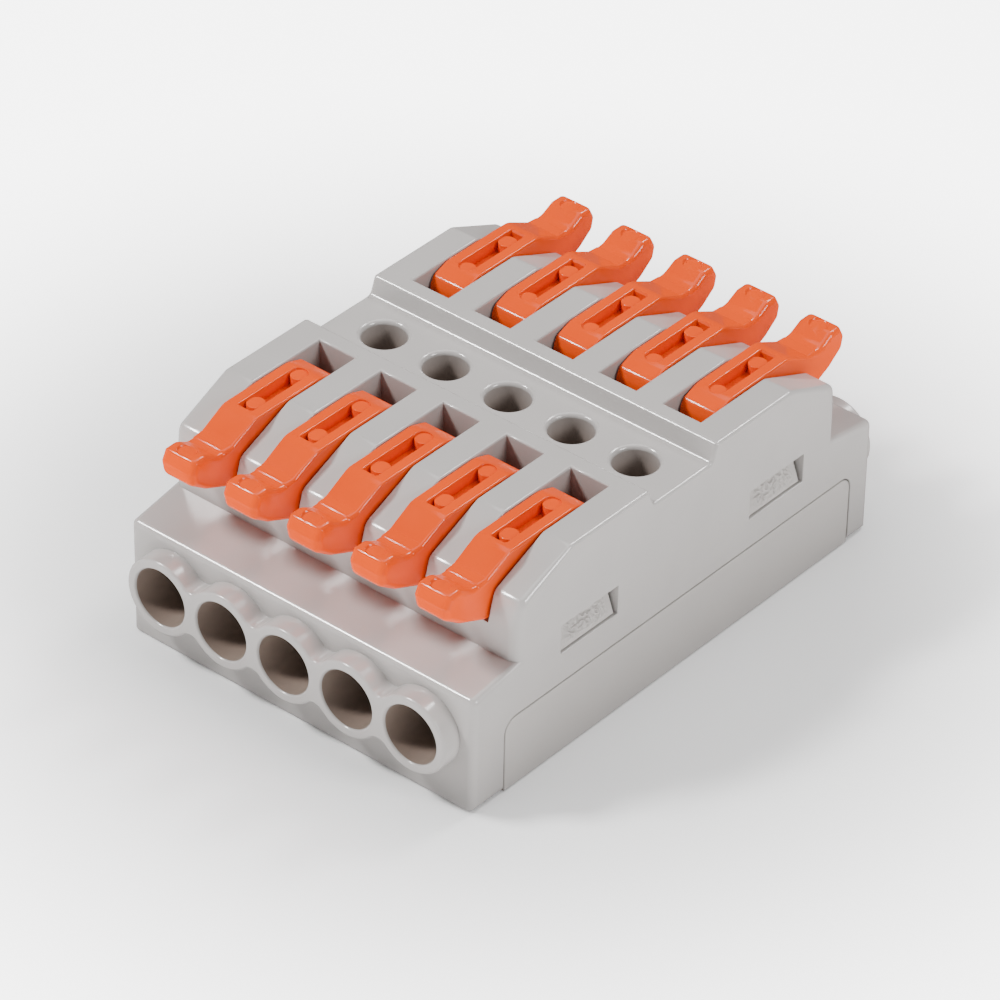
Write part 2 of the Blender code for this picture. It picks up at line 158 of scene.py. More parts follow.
LEVER_HALF_WIDTH = SLOT_HALF_WIDTH - GAP
TRUNNION_RADIUS = 0.8
OPEN_ANGLE = math.radians(85)
ARM_RATIO = 0.19
CAM_GAP = 0.12
LEVER_UNDERSIDE = 12.15
POCKET_HALF_WIDTH = 0.6
POCKET_INNER = 8.0
POCKET_OUTER = 13.95
POCKET_FLOOR = 15.4
BOSS_REACHES = (8.55, 12.9)
BOSS_RADIUS = 0.68
BOSS_TOP = 16.22
DIMPLE_REACH = 19.62
DIMPLE_FLOOR = 15.78


# ---------------------------------------------------------------- outlines

def arc(centre, radius, start, end, steps):
    """Points of an arc, with its angles in degrees."""
    points = []
    for step in range(steps + 1):
        angle = math.radians(start + (end - start) * step / steps)
        points.append((centre[0] + radius * math.cos(angle), centre[1] + radius * math.sin(angle)))
    return points


def rounded(corners, steps=6):
    """Outline through (a, b, radius) corners, each rounded to its radius."""
    points = []
    for index, (a, b, radius) in enumerate(corners):
        corner = Vector((a, b))
        if radius == 0:
            points.append(corner)
            continue
        to_before = (Vector(corners[index - 1][:2]) - corner).normalized()
        to_after = (Vector(corners[(index + 1) % len(corners)][:2]) - corner).normalized()
        half = to_before.angle(to_after) / 2
        centre = corner + (to_before + to_after).normalized() * radius / math.sin(half)
        start = (corner + to_before * radius / math.tan(half) - centre).normalized()
        end = (corner + to_after * radius / math.tan(half) - centre).normalized()
        for step in range(steps + 1):
            points.append(centre + start.slerp(end, step / steps) * radius)
    return points


def rectangle(low, high, radius):
    """Corners of a rectangle, counter-clockwise."""
    return [
        (high[0], low[1], radius),
        (high[0], high[1], radius),
        (low[0], high[1], radius),
        (low[0], low[1], radius),
    ]


def turning_left(corners):
    """Whether the corners go round counter-clockwise."""
    area = 0
    for before, after in zip(corners, list(corners[1:]) + [corners[0]]):
        area += before[0] * after[1] - after[0] * before[1]
    return area > 0


def inset(corners, amounts):
    """Move each corner inwards by its amount, and fit its radius; a negative amount moves it out."""
    turn = 1 if turning_left(corners) else -1
    moved = []
    for index, (a, b, radius) in enumerate(corners):
        corner = Vector((a, b))
        arriving = (corner - Vector(corners[index - 1][:2])).normalized()
        leaving = (Vector(corners[(index + 1) % len(corners)][:2]) - corner).normalized()
        inward = Vector((-arriving.y - leaving.y, arriving.x + leaving.x)) * turn
        amount = amounts[index]
        place = corner + inward * amount / (1 + arriving.dot(leaving))
        convex = arriving.cross(leaving) * turn > 0
        if radius > 0:
            radius = max(radius - amount if convex else radius + amount, 0.01)
        moved.append((place.x, place.y, radius))
    return moved


def strip_outline(path, thickness):
    """Outline of a strip of the given thickness that follows path."""
    left, right = [], []
    for index, point in enumerate(path):
        before = Vector(path[max(index - 1, 0)])
        after = Vector(path[min(index + 1, len(path) - 1)])
        along = (after - before).normalized()
        across = Vector((-along.y, along.x)) * thickness / 2
        left.append(Vector(point) + across)
        right.append(Vector(point) - across)
    return left + right[::-1]


# ---------------------------------------------------------------- solids

PLACE = {
    "X": lambda a, b, t: (t, a, b),
    "Y": lambda a, b, t: (a, t, b),
    "Z": lambda a, b, t: (a, b, t),
}


def solid(bm):
    """Wrap a bmesh in an object that takes part in Booleans."""
    bmesh.ops.remove_doubles(bm, verts=bm.verts, dist=0.0005)
    bmesh.ops.recalc_face_normals(bm, faces=bm.faces)
    mesh = bpy.data.meshes.new("solid")
    bm.to_mesh(mesh)
    bm.free()
    item = bpy.data.objects.new("solid", mesh)
    bpy.context.scene.collection.objects.link(item)
    return item


def loft(rings):
    """Closed solid through rings of points that each have the same count."""
    bm = bmesh.new()
    made = [[bm.verts.new(point) for point in ring] for ring in rings]
    bm.faces.new(made[0])
    bm.faces.new(made[-1])
    for ring, following in zip(made, made[1:]):
        for index in range(len(ring)):
            after = (index + 1) % len(ring)
            bm.faces.new((ring[index], ring[after], following[after], following[index]))
    return solid(bm)


def prism(outline, axis, low, high):
    """Extrude an outline from low to high; it is in (y, z), (x, z) or (x, y) for X, Y or Z."""
    return loft([[PLACE[axis](point[0], point[1], t) for point in outline] for t in (low, high)])


def block(low, high):
    """Box between two opposite corners."""
    return prism(rounded(rectangle(low, high, 0)), "Z", low[2], high[2])


def rimmed_prism(corners, axis, low, high, rims, steps=4, turn_steps=6):
    """Prism whose two rims are rounded; rims holds the radius of the rounding at each corner."""
    if not isinstance(rims, (list, tuple)):
        rims = [rims] * len(corners)
    rings = []
    for end, inwards in ((low, 1), (high, -1)):
        half = []
        for step in range(steps + 1):
            angle = math.radians(90) * step / steps
            amounts = [rim * (1 - math.sin(angle)) for rim in rims]
            outline = inset(corners, amounts)
            depths = [rim * (1 - math.cos(angle)) for rim in rims]
            ring = []
            for index, corner in enumerate(outline):
                count = 1 if corner[2] == 0 else turn_steps + 1
                ring += [end + inwards * depths[index]] * count
            points = rounded(outline, turn_steps)
            half.append([PLACE[axis](point[0], point[1], t) for point, t in zip(points, ring)])
        rings += half if inwards == 1 else half[::-1]
    return loft(rings)


def flare_rings(inner, surface, flare, steps=5):
    """Pairs (widening, place) of a cutter that leaves a rounded rim where it meets the surface."""
    outwards = 1 if surface > inner else -1
    pairs = [(0, inner), (0, surface - outwards * flare)]
    for step in range(1, steps + 1):
        angle = math.radians(80) * step / steps
        pairs.append((flare * (1 - math.cos(angle)), surface - outwards * flare * (1 - math.sin(angle))))
    pairs.append((pairs[-1][0], surface + outwards * BEYOND))
    return pairs


def cutter(corners, axis, inner, surface, flare, turn_steps=6):
    """Prism that cuts from a surface down to inner and rounds the rim it leaves."""
    rings = []
    for widening, t in flare_rings(inner, surface, flare):
        outline = rounded(inset(corners, [-widening] * len(corners)), turn_steps)
        rings.append([PLACE[axis](point[0], point[1], t) for point in outline])
    return loft(rings)


def turned(profile, axis, centre, steps=56):
    """Solid of revolution; profile is (radius, place along axis) from end to end."""
    rings = []
    for radius, along in profile:
        ring = []
        for a, b in arc((0, 0), radius, 0, 360 - 360 / steps, steps - 1):
            if axis == "Y":
                ring.append((centre[0] + a, along, centre[2] + b))
            elif axis == "Z":
                ring.append((centre[0] + a, centre[1] + b, along))
            else:
                ring.append((along, centre[1] + a, centre[2] + b))
        rings.append(ring)
    return loft(rings)


def combine(base, others, operation):
    """Apply one exact Boolean of base with all the others, and remove the others."""
    tools = bpy.data.collections.new("tools")
    bpy.context.scene.collection.children.link(tools)
    for other in others:
        tools.objects.link(other)
    modifier = base.modifiers.new("combine", "BOOLEAN")
    modifier.operation = operation
    modifier.operand_type = "COLLECTION"
    modifier.collection = tools
    modifier.solver = "EXACT"
    apply_modifiers(base)
    for other in others:
        bpy.data.objects.remove(other)
    bpy.data.collections.remove(tools)
    return base


def apply_modifiers(item):
    """Replace an object's mesh by what its modifiers make of it."""
    evaluated = item.evaluated_get(bpy.context.evaluated_depsgraph_get())
    result = bpy.data.meshes.new_from_object(evaluated)
    item.modifiers.clear()
    item.data = result


def clean(item, flat=0.2):
    """Merge doubled points and join faces that lie in one plane."""
    bm = bmesh.new()
    bm.from_mesh(item.data)
    bmesh.ops.remove_doubles(bm, verts=bm.verts, dist=0.001)
    bmesh.ops.dissolve_limit(bm, angle_limit=math.radians(flat), verts=bm.verts, edges=bm.edges)
    bm.to_mesh(item.data)
    bm.free()
    return item


def soften(item, width_of, sharpness=22, segments=3):
    """Round the outer edges sharper than an angle; width_of(middle of edge) is their radius."""
    bm = bmesh.new()
    bm.from_mesh(item.data)
    weight = bm.edges.layers.float.new("bevel_weight_edge")
    for edge in bm.edges:
        if len(edge.link_faces) == 2 and edge.calc_face_angle_signed() > math.radians(sharpness):
            edge[weight] = width_of((edge.verts[0].co + edge.verts[1].co) / 2)
    bm.to_mesh(item.data)
    bm.free()
    modifier = item.modifiers.new("soften", "BEVEL")
    modifier.limit_method = "WEIGHT"
    modifier.width = 1.0
    modifier.segments = segments
    modifier.use_clamp_overlap = False
    apply_modifiers(item)
    return item


def shade_evenly(item):
    """Weight normals by face size, so that flat faces stay flat beside their rounded edges."""
    modifier = item.modifiers.new("even shading", "WEIGHTED_NORMAL")
    modifier.weight = 100
    modifier.keep_sharp = True


def finished(name, item, material):
    """Turn a solid in millimetres into a named piece in metres, shaded smoothly."""
    item.name = name
    item.data.name = name
    item.data.transform(Matrix.Scale(MM, 4))
    item.data.materials.clear()
    item.data.materials.append(material)
    item.data.shade_smooth()
    item.data.set_sharp_from_angle(angle=math.radians(SHARP_ANGLE))
    shade_evenly(item)
    return item


def placed_copy(name, pattern, place, end, node):
    """A copy of the pattern at a place in millimetres, turned round for the front end."""
    item = bpy.data.objects.new(name, pattern.data.copy())
    turn = Matrix.Rotation(math.pi if end < 0 else 0, 4, UPRIGHT)
    item.data.transform(Matrix.Translation(Vector(place) * MM) @ turn)
    bpy.context.scene.collection.objects.link(item)
    shade_evenly(item)
    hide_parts(node)
    return item


# ---------------------------------------------------------------- materials

FLOW_HEIGHT = 0.000004              # bump heights, in metres
GRAIN_HEIGHT = 0.000001
ROLLING_HEIGHT = 0.000004


def socket_texture(nodes, links, kind, scale, **settings):
    """A texture node in object coordinates, which are metres in the model's own frame."""
    place = nodes.new("ShaderNodeTexCoord")
    texture = nodes.new(kind)
    texture.inputs["Scale"].default_value = scale
    for name, value in settings.items():
        texture.inputs[name].default_value = value
    links.new(place.outputs["Object"], texture.inputs["Vector"])
    return texture


def mapped(nodes, links, source, start, end, low, high, kind="LINEAR"):
    """Map a value that runs from start to end to one from low to high, held at both ends."""
    node = nodes.new("ShaderNodeMapRange")
    node.interpolation_type = kind
    node.inputs["From Min"].default_value = start
    node.inputs["From Max"].default_value = end
    node.inputs["To Min"].default_value = low
    node.inputs["To Max"].default_value = high
    links.new(source, node.inputs["Value"])
    return node.outputs["Result"]


def ranged(nodes, links, source, low, high):
    """Map a noise texture's output smoothly to a range."""
    return mapped(nodes, links, source, 0.15, 0.85, low, high, "SMOOTHERSTEP")


def mixed_colour(nodes, links, factor, first, second):
    """Blend of two colours by a factor."""
    node = nodes.new("ShaderNodeMix")
    node.data_type = "RGBA"
    node.inputs[6].default_value = (*first, 1)
    node.inputs[7].default_value = (*second, 1)
    links.new(factor, node.inputs[0])
    return node.outputs[2]


def bumps(nodes, links, shader, layers):
    """Stack of bump nodes; a layer is (height output, distance in metres)."""
    normal = None
    for height, distance in layers:
        node = nodes.new("ShaderNodeBump")
        node.inputs["Strength"].default_value = 1.0
        node.inputs["Distance"].default_value = distance
        links.new(height, node.inputs["Height"])
        if normal:
            links.new(normal, node.inputs["Normal"])
        normal = node.outputs["Normal"]
    links.new(normal, shader.inputs["Normal"])


def new_material(name):
    material = bpy.data.materials.new(name)
    material.use_nodes = True
    nodes, links = material.node_tree.nodes, material.node_tree.links
    return material, nodes, links, nodes["Principled BSDF"]


def height_ramp(nodes, links, low, high):
    """A factor that rises from 0 to 1 between two heights in millimetres."""
    place = nodes.new("ShaderNodeTexCoord")
    split = nodes.new("ShaderNodeSeparateXYZ")
    links.new(place.outputs["Object"], split.inputs["Vector"])
    return mapped(nodes, links, split.outputs["Z"], low * MM, high * MM, 0, 1)


def moulded_plastic(name, pale, deep, rough_low, rough_high, gloss=0.5, top=None, flow=FLOW_HEIGHT):
    """Glossy moulded plastic: cloudy colour, faint flow waves, fine grain and uneven gloss.

    A top of (colour, low, high) fades the colour to another one between two heights; it paints shade that
    grows lighter towards the top.
    """
    material, nodes, links, shader = new_material(name)
    clouds = socket_texture(nodes, links, "ShaderNodeTexNoise", 260, Detail=1.5)
    specks = socket_texture(nodes, links, "ShaderNodeTexNoise", 5200, Detail=2.0)
    waves = socket_texture(nodes, links, "ShaderNodeTexNoise", 420, Detail=1.0)
    smears = socket_texture(nodes, links, "ShaderNodeTexNoise", 350, Detail=1.5)
    blend = nodes.new("ShaderNodeMath")
    blend.operation = "MULTIPLY_ADD"
    links.new(specks.outputs["Fac"], blend.inputs[0])
    blend.inputs[1].default_value = 0.25
    links.new(ranged(nodes, links, clouds.outputs["Fac"], 0, 0.75), blend.inputs[2])
    colour = mixed_colour(nodes, links, blend.outputs[0], pale, deep)
    if top:
        fade = nodes.new("ShaderNodeMix")
        fade.data_type = "RGBA"
        links.new(height_ramp(nodes, links, *top[1:]), fade.inputs[0])
        links.new(colour, fade.inputs[6])
        fade.inputs[7].default_value = (*top[0], 1)
        colour = fade.outputs[2]
    links.new(colour, shader.inputs["Base Color"])
    links.new(ranged(nodes, links, smears.outputs["Fac"], rough_low, rough_high), shader.inputs["Roughness"])
    bumps(nodes, links, shader, [
        (waves.outputs["Fac"], flow),
        (specks.outputs["Fac"], GRAIN_HEIGHT)])
    shader.inputs["Specular IOR Level"].default_value = gloss
    return material


def rolled_metal(name, colour, shade, roughness, along):
    """Rolled strip: fine lines along one axis, and a slightly cloudy colour."""
    material, nodes, links, shader = new_material(name)
    place = nodes.new("ShaderNodeTexCoord")
    stretch = nodes.new("ShaderNodeMapping")
    stretch.inputs["Scale"].default_value = along
    links.new(place.outputs["Object"], stretch.inputs["Vector"])
    lines = nodes.new("ShaderNodeTexNoise")
    lines.inputs["Scale"].default_value = 1.0
    lines.inputs["Detail"].default_value = 3.0
    links.new(stretch.outputs["Vector"], lines.inputs["Vector"])
    clouds = socket_texture(nodes, links, "ShaderNodeTexNoise", 500, Detail=3.0)
    factor = ranged(nodes, links, clouds.outputs["Fac"], 0, 1)
    links.new(mixed_colour(nodes, links, factor, colour, shade), shader.inputs["Base Color"])
    uneven = ranged(nodes, links, lines.outputs["Fac"], roughness * 0.7, roughness * 1.4)
    links.new(uneven, shader.inputs["Roughness"])
    bumps(nodes, links, shader, [(lines.outputs["Fac"], ROLLING_HEIGHT)])
    shader.inputs["Metallic"].default_value = 1.0
    return material


# ---------------------------------------------------------------- housing

def slot_blocks():
    """Blocks that cut the lever slots down to their floor and out through the wall."""
    blocks = []
    for pole in POLES:
        for end in ENDS.values():
            near, far = sorted((end * SLOT_INNER, end * HALF_LENGTH))
            x = POLE_CENTRES[pole]
            low = (x - SLOT_HALF_WIDTH, near, SLOT_FLOOR)
            blocks.append(block(low, (x + SLOT_HALF_WIDTH, far, HEIGHT + BEYOND)))
    return blocks


def collar_outline():
    """Front view of the collars round the wire ports, joined by hollow webs."""
    rise = math.sqrt((COLLAR_RADIUS + WEB_RADIUS) ** 2 - (PITCH / 2) ** 2)
    meet = math.degrees(math.atan2(rise, PITCH / 2))
    upper = []
    for pole in reversed(POLES):
        start = 0 if pole == max(POLES) else meet
        end = 180 if pole == min(POLES) else 180 - meet
        upper += arc((POLE_CENTRES[pole], 0), COLLAR_RADIUS, start, end, 18)
        if pole > min(POLES):
            web = (POLE_CENTRES[pole] - PITCH / 2, rise)
            upper += arc(web, WEB_RADIUS, -meet, meet - 180, 10)[1:-1]
    lower = [(x, -z) for x, z in reversed(upper[1:-1])]
    return [(x, WIRE_HEIGHT + z, 0) for x, z in upper + lower]


def rimmed_body(half):
    """Solid as wide as the housing; half is its side profile as (reach, height, radius, rim)."""
    corners = [(-reach, height, radius, rim) for reach, height, radius, rim in reversed(half)]
    corners += half
    outline = [corner[:3] for corner in corners]
    rims = [corner[3] for corner in corners]
    return rimmed_prism(outline, "X", -HALF_WIDTH, HALF_WIDTH, rims, 5)


def slot_edge_width(middle):
    """Radius of the edges round the lever slots; every other edge is already round."""
    reach = abs(middle.y)
    beside = min(abs(abs(middle.x - POLE_CENTRES[pole]) - SLOT_HALF_WIDTH) for pole in POLES)
    across = min(abs(middle.x - POLE_CENTRES[pole]) for pole in POLES)
    at_side = beside < NEAR and reach > SLOT_INNER
    at_inner_end = across < SLOT_HALF_WIDTH and abs(reach - SLOT_INNER) < NEAR
    above_floor = middle.z > SLOT_FLOOR + GAP
    return SLOT_EDGE_RADIUS if above_floor and (at_side or at_inner_end) else 0


def housing_body():
    """Lower body with its ledges, the raised block with its slots, and the collars."""
    slope = (LEDGE_INNER - LEDGE_OUTER) / (HALF_LENGTH - BLOCK_HALF_LENGTH)
    lower = rimmed_body([
        (BLOCK_HALF_LENGTH - BEYOND, LEDGE_INNER + slope * BEYOND, 0, 0.3),
        (HALF_LENGTH, LEDGE_OUTER, 0.5, CORNER_RADIUS),
        (HALF_LENGTH, 0, 0.15, CORNER_RADIUS),
    ])
    raised = rimmed_body([
        (3.0, TROUGH_FLOOR, 0.4, 0.3),
        (3.5, HEIGHT, 0.3, 0.3),
        (11.5, HEIGHT, 0.9, 0.3),
        (16.3, 14.38, 0.8, 0.5),
        (BLOCK_HALF_LENGTH, 12.8, 0, BLOCK_CORNER_RADIUS),
        (BLOCK_HALF_LENGTH, LEDGE_INNER - BEYOND, 0, BLOCK_CORNER_RADIUS),
    ])
    clean(combine(raised, slot_blocks(), "DIFFERENCE"))
    soften(raised, slot_edge_width)
    collars = rimmed_prism(collar_outline(), "Y", -COLLAR_END, COLLAR_END, 0.2)
    return combine(lower, [raised, collars], "UNION")


def port_cutter(x, end):
    """Wire port: a softly rounded mouth that narrows to the throat."""
    throat_end = CAVITY_OUTER + THROAT_LENGTH
    profile = [
        (THROAT_RADIUS, end * (CAVITY_OUTER - GAP)),
        (THROAT_RADIUS, end * throat_end),
        (THROAT_RADIUS + 0.05, end * (throat_end + 0.3)),
        (THROAT_RADIUS + 0.15, end * (throat_end + 0.6)),
    ]
    for widening, place in flare_rings(CAVITY_OUTER, COLLAR_END, MOUTH_FLARE)[1:]:
        profile.append((MOUTH_RADIUS + widening, end * place))
    return turned(profile, "Y", (x, 0, WIRE_HEIGHT))


def pole_cutters(x, end):
    """Cavity, trunnion pocket and wire port at one end of a pole."""
    near, far = sorted((end * CAVITY_INNER, end * CAVITY_OUTER))
    low = (x - CAVITY_HALF_WIDTH, near, -GAP)
    pocket_radius = TRUNNION_RADIUS + GAP
    pocket = arc((end * PIVOT.y, PIVOT.z), pocket_radius, 0, 180, 16)
    pocket += [
        (end * PIVOT.y - pocket_radius, CAVITY_TOP - GAP),
        (end * PIVOT.y + pocket_radius, CAVITY_TOP - GAP),
    ]
    return [
        block(low, (x + CAVITY_HALF_WIDTH, far, CAVITY_TOP)),
        prism(pocket, "X", x - CAVITY_HALF_WIDTH, x + CAVITY_HALF_WIDTH),
        port_cutter(x, end),
    ]


def middle_cutters(x):
    """Channel for the busbar and its post, and the test hole above it."""
    channel_top = BAR_HIGH.z + GAP
    hole = [(TEST_RADIUS + widening, place) for widening, place in
            flare_rings(channel_top - GAP, TROUGH_FLOOR, TEST_FLARE)]
    channel = block(
        (x - CAVITY_HALF_WIDTH, -CAVITY_INNER - GAP, -GAP),
        (x + CAVITY_HALF_WIDTH, CAVITY_INNER + GAP, channel_top))
    return [channel, turned(hole, "Z", (x, 0, 0))]


def windows():
    """The two windows of a side, as (low, high) along Y."""
    centres = [COVER_SHIFT + end * WINDOW_REACH for end in ENDS.values()]
    return [(centre - WINDOW_HALF_LENGTH, centre + WINDOW_HALF_LENGTH) for centre in centres]


def wing_corners(growth):
    """Side view of a cover wing, grown outwards for the recess that takes it."""
    radius = COVER_CORNER_RADIUS + growth
    return [
        (COVER_FRONT - growth, -growth, 0),
        (COVER_BACK + growth, -growth, 0),
        (COVER_BACK + growth, WING_HEIGHT + growth, radius),
        (COVER_FRONT - growth, WING_HEIGHT + growth, radius),
    ]


def cover_cutters():
    """Recesses for the cover's floor, wings and tongues, and the windows for its wedges."""
    outside = HALF_WIDTH + BEYOND
    cuts = [block(
        (-outside, COVER_FRONT - GAP, -BEYOND),
        (outside, COVER_BACK + GAP, COVER_THICKNESS + GAP))]
    wing_inner = HALF_WIDTH - WING_THICKNESS - GAP
    pocket_inner = POLE_CENTRES[max(POLES)] + CAVITY_HALF_WIDTH - GAP
    for side in (-1, 1):
        cuts.append(cutter(wing_corners(GAP), "X", side * wing_inner, side * HALF_WIDTH, 0.08))
        for low, high in windows():
            x_low, x_high = sorted((side * pocket_inner, side * (wing_inner + 1.5 * GAP)))
            cuts.append(block((x_low, low - GAP, 0), (x_high, high + GAP, TONGUE_TOP + GAP)))
            frame_corners = rectangle((low, WINDOW_BOTTOM), (high, WINDOW_TOP), 0.08)
            cuts.append(cutter(frame_corners, "X", side * wing_inner, side * HALF_WIDTH, 0.07))
    return cuts


def painted_shade_faces(item, material):
    """Give the faces inside ports, test holes, slots and cavities the inside material, which paints shade
    into them: darker brown deep down and paler towards the top.
    """
    item.data.materials.append(material)
    for face in item.data.polygons:
        x, y, z = face.center / MM
        reach = abs(y)
        sideways = min(abs(x - POLE_CENTRES[pole]) for pole in POLES)
        around_wire = math.hypot(sideways, z - WIRE_HEIGHT) < MOUTH_RADIUS + NEAR
        in_port = around_wire and CAVITY_OUTER - GAP < reach < COLLAR_END - 0.2
        in_port = in_port and abs(face.normal.y) < 0.7
        in_hole = math.hypot(sideways, y) < TEST_RADIUS + NEAR and z < TROUGH_FLOOR - 0.3
        along_slot = SLOT_INNER - NEAR < reach < BLOCK_HALF_LENGTH - 1.0
        in_slot = sideways < SLOT_HALF_WIDTH + NEAR and z < HEIGHT - 0.8 and along_slot
        in_cavity = sideways < CAVITY_HALF_WIDTH + NEAR and z < CAVITY_TOP and reach < CAVITY_OUTER + NEAR
        if in_port or in_hole or in_slot or in_cavity:
            face.material_index = 1


def make_housing(material, inside):
    body = housing_body()
    cuts = cover_cutters()
    for pole in POLES:
        cuts += middle_cutters(POLE_CENTRES[pole])
        for end in ENDS.values():
            cuts += pole_cutters(POLE_CENTRES[pole], end)
    combine(body, cuts, "DIFFERENCE")
    shell = finished("housing_shell", body, material)
    # Painted shade: the faces inside ports, test holes, slots and cavities get the darker inside material.
    painted_shade_faces(shell, inside)
    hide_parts("upper_housing")
    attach(shell, "housing")
    return shell


# ---------------------------------------------------------------- bottom cover

def tongue_corners(side):
    """End view of a snap tongue: its root in the floor and wing, its stem and its wedge."""
    outer = HALF_WIDTH - WING_THICKNESS - GAP / 2
    inner = outer - TONGUE_THICKNESS
    root = COVER_THICKNESS / 2
    corners = [
        (inner, root, 0),
        (HALF_WIDTH - WING_THICKNESS / 2, root, 0),
        (HALF_WIDTH - WING_THICKNESS / 2, WING_HEIGHT - GAP, 0),
        (outer, WING_HEIGHT - GAP, 0),
        (outer, WEDGE_BOTTOM, 0.05),
        (outer + WEDGE_PROUD, WEDGE_BOTTOM, 0.08),
        (outer, TONGUE_TOP - GAP, 0.05),
        (inner, TONGUE_TOP, 0.1),
    ]
    return [(side * x, z, radius) for x, z, radius in corners]


def wedge_relief(side, low, high):
    """Rough mould texture that stands out of a wedge's slope, as crossing ridges."""
    outer = HALF_WIDTH - WING_THICKNESS - GAP / 2
    foot = Vector((outer + WEDGE_PROUD, WEDGE_BOTTOM))
    head = Vector((outer, TONGUE_TOP - GAP))
    outward = Vector((head.y - foot.y, foot.x - head.x)).normalized()
    along_steps, up_steps = 64, 22
    ridge_height, proud = 0.13, 0.004
    fade = 6                        # how fast the ridges rise from the patch's border
    rings = []
    for along in range(along_steps + 1):
        y = low + 0.35 + (high - low - 0.9) * along / along_steps
        ring = [(side * (outer - 0.25), y, WEDGE_BOTTOM + 0.2)]
        for up in range(up_steps + 1):
            share = 0.08 + 0.78 * up / up_steps
            ridge = noise.noise(Vector((y * 2.6, share * 6.5, side * 3.0)))
            ridge = max(0, 1 - 3.2 * abs(ridge))
            edge = min(1, fade * min(along / along_steps, 1 - along / along_steps))
            edge *= min(1, fade * min(up / up_steps, 1 - up / up_steps))
            point = foot.lerp(head, share) + outward * (ridge_height * ridge * edge + proud)
            ring.append((side * point.x, y, point.y))
        ring.append((side * (outer - 0.25), y, TONGUE_TOP - 0.4))
        rings.append(ring)
    return loft(rings)


def make_cover(material):
    """Floor with two flush side wings, four snap tongues and a post under each busbar."""
    tray = rimmed_prism(wing_corners(0), "X", -HALF_WIDTH, HALF_WIDTH, 0.1)
    inside = HALF_WIDTH - WING_THICKNESS
    hollow = block(
        (-inside, -HALF_LENGTH, COVER_THICKNESS),
        (inside, HALF_LENGTH, WING_HEIGHT + BEYOND))
    combine(tray, [hollow], "DIFFERENCE")
    pieces = []
    for side in (-1, 1):
        for low, high in windows():
            pieces.append(rimmed_prism(tongue_corners(side), "Y", low + GAP, high - TONGUE_PLAY, 0.05))
            pieces.append(wedge_relief(side, low, high))
    for pole in POLES:
        x = POLE_CENTRES[pole]
        low, high = (x - POST_HALF_WIDTH, -POST_HALF_LENGTH), (x + POST_HALF_WIDTH, POST_HALF_LENGTH)
        plan = rectangle(low, high, 0.4)
        pieces.append(rimmed_prism(plan, "Z", COVER_THICKNESS / 2, BAR_LOW.z - GAP, 0.1))
    combine(tray, pieces, "UNION")
    cover = finished("cover_shell", clean(tray), material)
    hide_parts("bottom_cover")
    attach(cover, "housing")
    return cover


# ---------------------------------------------------------------- metal parts

def make_busbars(material):
    """Flat bars that join the front and back ports of each pole."""
    for pole in POLES:
        node = "busbar_%d" % pole
        low, high = corner_mm(node, 0), corner_mm(node, 1)
        plan = rectangle((low.x, low.y), (high.x, high.y), 0.4)
        bar = rimmed_prism(plan, "Z", low.z, high.z, 0.12, 3, 8)
        bar = finished("busbar_strip_%d" % pole, bar, material)
        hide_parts(node)
        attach(bar, "housing")


def spring_loop():
    """Foot on the busbar and the loop that flexes, about the loop's centre."""
    path = [(ROOT_END - LOOP.y - step * 0.8, -LOOP_RADIUS) for step in range(9)]
    path += arc((0, 0), LOOP_RADIUS, 270, 98, 40)
    corners = [(point.x, point.y, 0) for point in strip_outline(path, STRIP)]
    return rimmed_prism(corners, "X", -STRIP_HALF_WIDTH, STRIP_HALF_WIDTH, 0.06, 2)


def spring_cage():
    """Arm above the loop and the cage that hangs from it, about the loop's centre."""
    bend = 0.7
    leg = CAGE_HIGH.y - STRIP / 2 - LOOP.y
    bottom = CAGE_LOW.z - LOOP.z
    half_width = CAGE_HIGH.x
    path = [(0, LOOP_RADIUS)]
    path += arc((leg - bend, LOOP_RADIUS - bend), bend, 90, 0, 12)
    path.append((leg, bottom))
    corners = [(point.x, point.y, 0) for point in strip_outline(path, STRIP)]
    arm = rimmed_prism(corners, "X", -half_width, half_width, 0.06, 2)
    opening = rounded(rectangle(
        (-CAGE_WINDOW_HALF_WIDTH, BAR_LOW.z - GAP - LOOP.z),
        (CAGE_WINDOW_HALF_WIDTH, LOOP_RADIUS - 2 * STRIP), 0.35), 6)
    cuts = [prism(opening, "Y", leg - STRIP, leg + STRIP)]
    for side in (-1, 1):
        near, far = sorted((side * STRIP_HALF_WIDTH, side * (half_width + BEYOND)))
        plan = rounded(rectangle((near, -BEYOND), (far, CAGE_START - LOOP.y), 0.3), 6)
        cuts.append(prism(plan, "Z", LOOP_RADIUS - STRIP, LOOP_RADIUS + STRIP))
    return combine(arm, cuts, "DIFFERENCE")


def make_springs(material):
    """The loop stays fixed between the housing and the arm and is not made to bend; the arm with its cage
    rides on its own body.
    """
    loop = finished("loop pattern", spring_loop(), material)
    cage = finished("cage pattern", clean(spring_cage()), material)
    for end_name, end in ENDS.items():
        for pole in POLES:
            place = (POLE_CENTRES[pole], end * LOOP.y, LOOP.z)
            body = "%s_cage_%d" % (end_name, pole)
            node = "%s_spring_root_%d" % (end_name, pole)
            name = "%s_spring_loop_%d" % (end_name, pole)
            bent = placed_copy(name, loop, place, end, node)
            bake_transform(bent)
            node = "%s_spring_cage_%d" % (end_name, pole)
            name = "%s_spring_clamp_%d" % (end_name, pole)
            clamp = placed_copy(name, cage, place, end, node)
            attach(clamp, body)
    bpy.data.objects.remove(loop)
    bpy.data.objects.remove(cage)


# ---------------------------------------------------------------- levers

